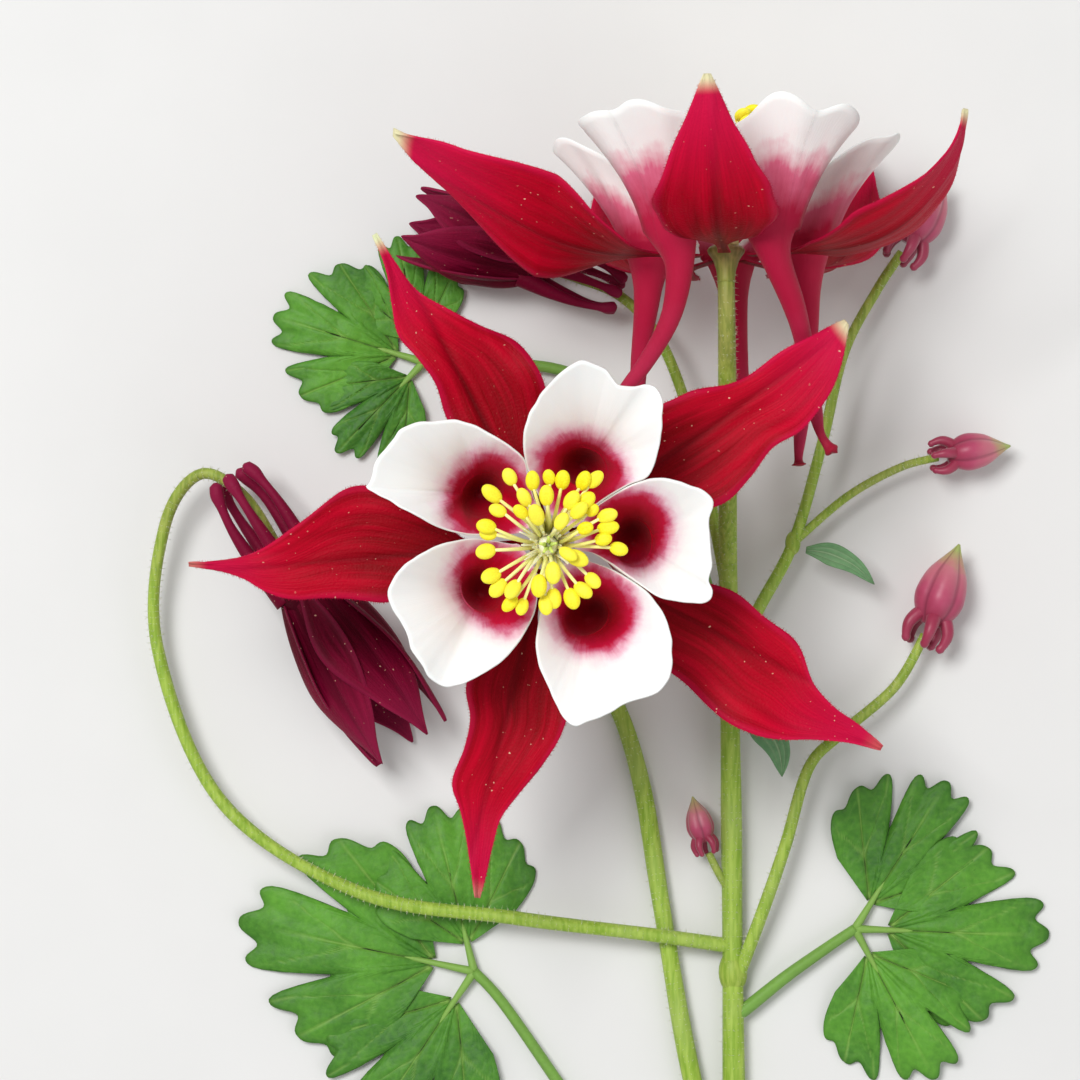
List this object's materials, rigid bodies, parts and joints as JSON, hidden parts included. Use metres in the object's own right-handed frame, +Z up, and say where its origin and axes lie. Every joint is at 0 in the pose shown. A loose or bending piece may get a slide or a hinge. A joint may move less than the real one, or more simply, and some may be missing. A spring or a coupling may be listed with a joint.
{
  "type": "columbine plant",
  "caption": "Cut flowering stem of a red and white long-spurred columbine lying on its side, with open and half-open blooms, buds and lobed leaves.",
  "frame": {"origin": "on the surface the stem lies on, at the middle of the part's bounding box seen from above", "axes": "+Z up, the way the main bloom faces; +Y along the stem from its cut end to the upper bloom"},
  "size_m": [0.1057, 0.1687, 0.052],
  "materials": {
    "sepal_crimson": "satin, fine lengthwise veins",
    "petal_white": "soft matt, crimson towards the throat and on the spur",
    "anther_yellow": "matt, powdery",
    "style_green": "satin",
    "stem_green": "finely hairy, brownish purple near the blooms",
    "bloom_burgundy": "satin, veined",
    "bud_pink": "satin, green towards the tip",
    "leaf_green": "matt, pale veins"
  },
  "bodies": {
    "root": {"main_sepal_1": "sepal_crimson", "main_sepal_2": "sepal_crimson", "main_sepal_3": "sepal_crimson", "main_sepal_4": "sepal_crimson", "main_sepal_5": "sepal_crimson", "main_petal_1": "petal_white", "main_petal_2": "petal_white", "main_petal_3": "petal_white", "main_petal_4": "petal_white", "main_petal_5": "petal_white", "main_stamens": "anther_yellow", "main_pistil": "style_green", "top_sepal_1": "sepal_crimson", "top_sepal_2": "sepal_crimson", "top_sepal_3": "sepal_crimson", "top_sepal_4": "sepal_crimson", "top_sepal_5": "sepal_crimson", "top_petal_1": "petal_white", "top_petal_2": "petal_white", "top_petal_3": "petal_white", "top_petal_4": "petal_white", "top_petal_5": "petal_white", "top_stamens": "anther_yellow", "top_pistil": "style_green", "stem": "stem_green", "left_bloom": "bloom_burgundy", "dark_bloom": "bloom_burgundy", "bud_upper_right": "bud_pink", "bud_right": "bud_pink", "bud_lower_right": "bud_pink", "bud_low": "bud_pink", "leaf_lower_left": "leaf_green", "leaf_right": "leaf_green", "leaf_upper_left": "leaf_green", "bract_middle": "leaf_green", "bract_right": "leaf_green"}
  },
  "joints": []
}
